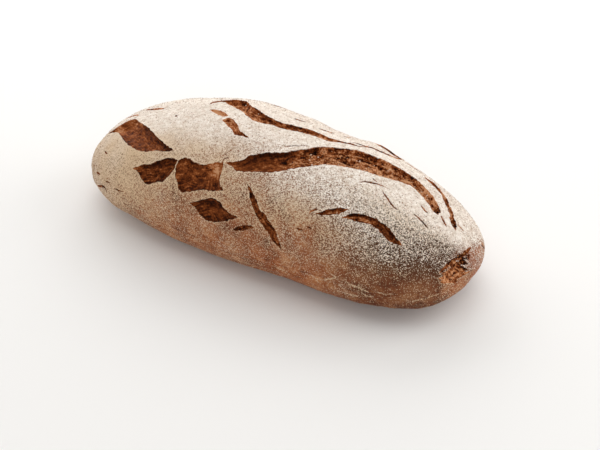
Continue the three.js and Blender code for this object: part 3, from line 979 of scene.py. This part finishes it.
lumpy = add("Math", {0: uneven, 1: LUMPY, 2: pattern["powder"]}, operation="MULTIPLY_ADD")
floury = add("ValToRGB", {"Fac": lumpy},
             stops=[(0.1, "#c2ae98"), (0.32, "#d8c9b8"), (0.6, "#f3e8dc"), (0.8, "#fff9f0")])
curls = add("Math", {0: pattern["curls"], 1: 0.5}, operation="SUBTRACT")  # 0.5 is its middle
curls = add("Math", {0: curls}, operation="ABSOLUTE")
curls = add("MapRange", {"Value": curls, "From Max": CURL_WIDTH, "To Min": CURLED, "To Max": 0})
for share, tone in ((curls, "#bd9a80"), (number["tan"], "#dabe9c")):
    floury = add("Mix", {"Factor": share, "A": floury, "B": tone}, data_type="RGBA")
dusted = add("Mix", {"Factor": cover, "A": bare, "B": floury}, data_type="RGBA")
print("with flour there are", len(crust.node_tree.nodes), "nodes")

# %% [markdown]
# ## The floured crust: torn crumb
#
# Torn crumb is orange brown on its thin strands, and its pores are painted darkest, as painted
# shade. Its height says which is which, so a ramp of colours follows the height: painted shade
# low down, baking colours higher, and a painted sheen in its palest, greyest colours. Fine grit
# and strands that are too small for the mesh go on top, and paint the light and shade of that
# relief.

# %% The floured crust: torn crumb
STRANDED = 0.6  # how much the strands count against the grit
GRITTY, SOFT = 1.3, 0.3  # how far these two vary the baking colour and the painted shade of relief too small for the mesh, and how far the browning does
RIM = (0.4, 0.65)  # mm inside an edge over which flour gives way to crumb, plus the nibbles

gritty = add("Mix", {"Factor": STRANDED, "A": pattern["grit"], "B": pattern["strands"]})
gritty = add("MapRange", {"Value": gritty, "To Min": -GRITTY, "To Max": GRITTY})
lifted = add("MapRange", {"Value": pattern["browning"], "To Min": -SOFT, "To Max": SOFT})
lifted = add("Math", {0: lifted, 1: number["baked"]}, operation="ADD")
lifted = add("Math", {0: gritty, 1: number["grit"], 2: lifted}, operation="MULTIPLY_ADD")
# The ramp's darkest colours are painted shade in the pores, and its palest, greyest ones a painted
# sheen.
torn_colour = add("ValToRGB", {"Fac": lifted},
                  stops=[(0, "#180500"), (0.3, "#4a1c02"), (0.6, "#84431b"), (0.8, "#b0693a"),
                         (1, "#d49d72")])
rim_line = add("Math", {0: pattern["nibbles"], 1: number["torn"]}, operation="ADD")
is_torn = add("MapRange", {"Value": rim_line, "From Min": RIM[0], "From Max": RIM[1]},
              interpolation_type="SMOOTHSTEP")
colour = add("Mix", {"Factor": is_torn, "A": dusted, "B": torn_colour}, data_type="RGBA")
print("with torn crumb there are", len(crust.node_tree.nodes), "nodes")

# %% [markdown]
# ## The floured crust: gloss and grain
#
# Dry flour has no gloss, and bare crust and torn floors have a dull sheen from baked sugars.
# Grains stand a tenth of a millimetre proud, which only bump can afford.

# %% The floured crust: gloss and grain
BARE_ROUGH, FLOUR_ROUGH, CRUMB_ROUGH = 0.7, 0.95, 0.75
GRAIN_SHARE, BUMP = 0.2, 0.5 * MM  # how much of the bump is grains, and its height

matt = add("MapRange", {"Value": cover, "To Min": BARE_ROUGH, "To Max": FLOUR_ROUGH})
matt = add("Mix", {"Factor": is_torn, "A": matt, "B": CRUMB_ROUGH})
heights = add("Math", {0: cover, 1: GRAIN_SHARE, 2: pattern["powder"]}, operation="MULTIPLY_ADD")
bumps = add("Bump", {"Height": heights, "Distance": BUMP})
fill_sockets(crust, crust_shader, {"Base Color": colour, "Roughness": matt, "Normal": bumps})
loaf.data.materials.append(crust)
print("the crust's finish has", len(crust.node_tree.nodes), "nodes")

# %% [markdown]
# ## Scattered pieces
#
# Flour, bran and crumbs also lie loose. Particles would be lost on export, so the pieces of one
# kind are a single mesh: a small solid copied to random triangles of the loaf, more often where a
# density is high, and laid on the surface.

# %% Scattered pieces
LOPSIDED, FLAT = (0.6, 1.0), 0.6  # how much a piece's radii differ, and how flat it lies
corners = surface[triangles]
normal = np.cross(corners[:, 1] - corners[:, 0], corners[:, 2] - corners[:, 0])
area = np.linalg.norm(normal, axis=1) / 2


def scatter(name, count, radii, lift, density, shape, seed, **numbers):
    """Copies of a small shape strewn over the loaf, thickest where the density is high. Radii are
    the least and the greatest, and the shape is its points and triangles."""
    rng = np.random.default_rng(seed)
    weight = area * np.maximum(density, 0)[triangles].mean(axis=1)
    chosen = rng.choice(len(triangles), count, p=weight / weight.sum())
    share = rng.dirichlet((1, 1, 1), count)
    place = (corners[chosen] * share[:, :, None]).sum(axis=1)
    up = normal[chosen] / (2 * area[chosen, None])
    side = np.cross(up, rng.normal(size=(count, 3)))
    side /= np.linalg.norm(side, axis=1, keepdims=True)
    axes = np.stack([side, np.cross(up, side), up], axis=1)
    ball, faces = shape
    size = rng.uniform(*radii, (count, 1)) * rng.uniform(*LOPSIDED, (count, 3)) * (1, 1, FLAT)
    points = np.einsum("vk,nk,nkd->nvd", ball, size, axes) + (place + up * lift)[:, None]
    index = faces[None] + len(ball) * np.arange(count)[:, None, None]
    kept = {key: np.repeat((values[triangles[chosen]] * share).sum(axis=1), len(ball))
            for key, values in numbers.items()}
    kept["shade"] = np.repeat(rng.uniform(0, 1, count), len(ball))
    made = make_mesh(name, points.reshape(-1, 3), index.reshape(-1, 3), False, **kept)
    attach(made, "root")
    print(name, "has", index.size // 3, "triangles")
    return made


print("pieces can lie on", int(area.sum() / 100), "square centimetres")

# %% [markdown]
# ## Loose flour and bran
#
# Flour lies loose where the cover is half worn, and flakes of bran, the grain's dark hull, where
# it is thick. There are thousands, so each has only eight faces.

# %% Loose flour and bran
OCTAHEDRON = (
    np.array([(1, 0, 0), (-1, 0, 0), (0, 1, 0), (0, -1, 0), (0, 0, 1), (0, 0, -1)], float),
    np.array([(0, 2, 4), (2, 1, 4), (1, 3, 4), (3, 0, 4), (2, 0, 5), (1, 2, 5), (3, 1, 5),
              (0, 3, 5)]),
)
OFF_SPLITS, OFF_BASE = (0.2, 0.8), (108, 114)  # mm from an edge, and roll, that they stay off
LEAST_LOOSE = 0.1  # density of loose flour where the cover is full or gone
WORN, WORN_REACH = 0.5, 0.28  # share of the cover where it is densest, and how far round that
FLAKY, FLAKIER = 0.12, 0.8  # density of bran in full flour, and what black crust adds to it

on_crust = smooth_step(-torn, *OFF_SPLITS) * (1 - smooth_step(np.abs(roll), *OFF_BASE))
half_worn = np.exp(-(((flour - WORN) / WORN_REACH) ** 2))
loose = on_crust * (LEAST_LOOSE + (1 - LEAST_LOOSE) * half_worn)
meal = scatter("flour_grains", count=24000, radii=(0.2, 0.42), lift=0.1, density=loose,
               shape=OCTAHEDRON, seed=11, tan=tan)
flaky = np.clip(flour, 0, 1) * (FLAKY + FLAKIER * black)
bran = scatter("bran_flakes", count=6000, radii=(0.25, 0.5), lift=0.05,
               density=on_crust * flaky, shape=OCTAHEDRON, seed=12, black=black)


def two_way_finish(pieces, name, attribute, usual, changed, roughness):
    """Finishes pieces in shades between two colours, one shade each, that go over to two others
    as an attribute goes from 0 to 1."""
    material, shader, add = new_material(name, Roughness=roughness, Specular_IOR_Level=0.2)
    shade, changing = (add("Attribute", {}, out="Fac", attribute_name=one)
                       for one in ("shade", attribute))
    ends = [add("Mix", {"Factor": shade, "A": dark, "B": light}, data_type="RGBA")
            for dark, light in (usual, changed)]
    mixed = add("Mix", {"Factor": changing, "A": ends[0], "B": ends[1]}, data_type="RGBA")
    fill_sockets(material, shader, {"Base Color": mixed})
    pieces.data.materials.append(material)


# Rye meal, ground coarse: chalky and matt, and tan where the oven toasted it.
two_way_finish(meal, "rye_meal", "tan", ("#cfbeac", "#f3ece2"), ("#b8946f", "#dfc8a8"), 0.95)
# Rye bran, rolled flat by the mill: a little smoother, and red brown, or grey in the dark crust.
two_way_finish(bran, "rye_bran", "black", ("#6b3a20", "#a9744c"), ("#332820", "#80705a"), 0.8)

# %% [markdown]
# ## Crumbs
#
# Crumbs broke off where the torn floors are roughest. They are few and larger, so each has twenty
# faces, and its points are the corners of three golden rectangles at right angles.

# %% Crumbs
GOLDEN = (1 + math.sqrt(5)) / 2
rectangle = np.array([(-1, GOLDEN, 0), (1, GOLDEN, 0), (-1, -GOLDEN, 0), (1, -GOLDEN, 0)])
ICOSAHEDRON = (
    np.concatenate([np.roll(rectangle, i, axis=1) for i in range(3)]) / math.hypot(1, GOLDEN),
    np.array([(0, 11, 5), (0, 5, 1), (0, 1, 7), (0, 7, 10), (0, 10, 11), (1, 5, 9), (5, 11, 4),
              (11, 10, 2), (10, 7, 6), (7, 1, 8), (3, 9, 4), (3, 4, 2), (3, 2, 6), (3, 6, 8),
              (3, 8, 9), (4, 9, 5), (2, 4, 11), (6, 2, 10), (8, 6, 7), (9, 8, 1)]),
)
CRUMBLY_FROM, FIRM = (0.3, 1.2), 0.9  # mm inside an edge, and the roughness that sheds none
crumbly = smooth_step(torn, *CRUMBLY_FROM) * np.maximum(roughness - FIRM, 0)
crumbs = scatter("torn_crumbs", count=900, radii=(0.4, 0.95), lift=0.1, density=crumbly,
                 shape=ICOSAHEDRON, seed=13)

# Baked rye crumb, torn and dried: matt, from nearly black to golden, and a few pale ones that are
# painted glints.
rye_crumb, shader, add = new_material("baked_rye_crumb", Roughness=0.7, Specular_IOR_Level=0.3)
shade = add("Attribute", {}, out="Fac", attribute_name="shade")
crumb_colour = add("ValToRGB", {"Fac": shade},
                   stops=[(0, "#4a2009"), (0.5, "#a05c2c"), (0.9, "#c88a54"), (1, "#e6d3c0")])
fill_sockets(rye_crumb, shader, {"Base Color": crumb_colour})
crumbs.data.materials.append(rye_crumb)

# %% [markdown]
# ## Floor
#
# The loaf rests on a pale board, painted matt, that reaches past the edges of the view.

# %% Floor
FLOOR_REACH = 4000  # mm
square = np.array([(-1, -1, 0), (1, -1, 0), (1, 1, 0), (-1, 1, 0)]) * FLOOR_REACH
floor = make_mesh("floor", square, np.array([(0, 1, 2), (0, 2, 3)]))
# Painted wood, rubbed down: matt enough that the loaf doesn't mirror in it.
floor.data.materials.append(new_material("pale_board", Base_Color="#f4f2ef", Roughness=0.9)[0])
print("the floor is", 2 * FLOOR_REACH * MM, "m wide")

# %% [markdown]
# ## Light
#
# Two windows behind the loaf and a pale ceiling make its ridge the brightest part, and let the
# front flank fall off into shade. Two weaker lights open the shade, as white cards would. All are
# large, so every shadow is soft.

# %% Light
WORLD_STRENGTH, LIGHT_SIZE = 0.38, 1.4  # of the light from all round, and m a side of a light
# Degrees round from the front, degrees up, distance in m, and power in W.
LIGHTS = {
    "window_left": (212, 26, 1.6, 14),
    "window_right": (130, 28, 1.6, 11.5),
    "ceiling": (180, 86, 1.6, 5.2),
    "left_card": (-100, 25, 1.6, 8),
    "front_card": (30, 20, 1.8, 9),
}

world = bpy.data.worlds.new("studio")
world.use_nodes = True
background = world.node_tree.nodes["Background"].inputs
background["Color"].default_value = linear("#ffffff")
background["Strength"].default_value = WORLD_STRENGTH
bpy.context.scene.world = world
for name, (turn, rise, distance, power) in LIGHTS.items():
    light = bpy.data.lights.new(name, "AREA")
    light.size, light.energy = LIGHT_SIZE, power
    made = bpy.data.objects.new(name, light)
    bpy.context.scene.collection.objects.link(made)
    way = spherical(turn, rise)
    made.location = way * distance
    made.rotation_euler = (-way).to_track_quat("-Z", "Y").to_euler()
bpy.context.scene.view_settings.view_transform = "Standard"
bpy.context.scene.view_settings.look = "None"
print(len(LIGHTS), "lights")
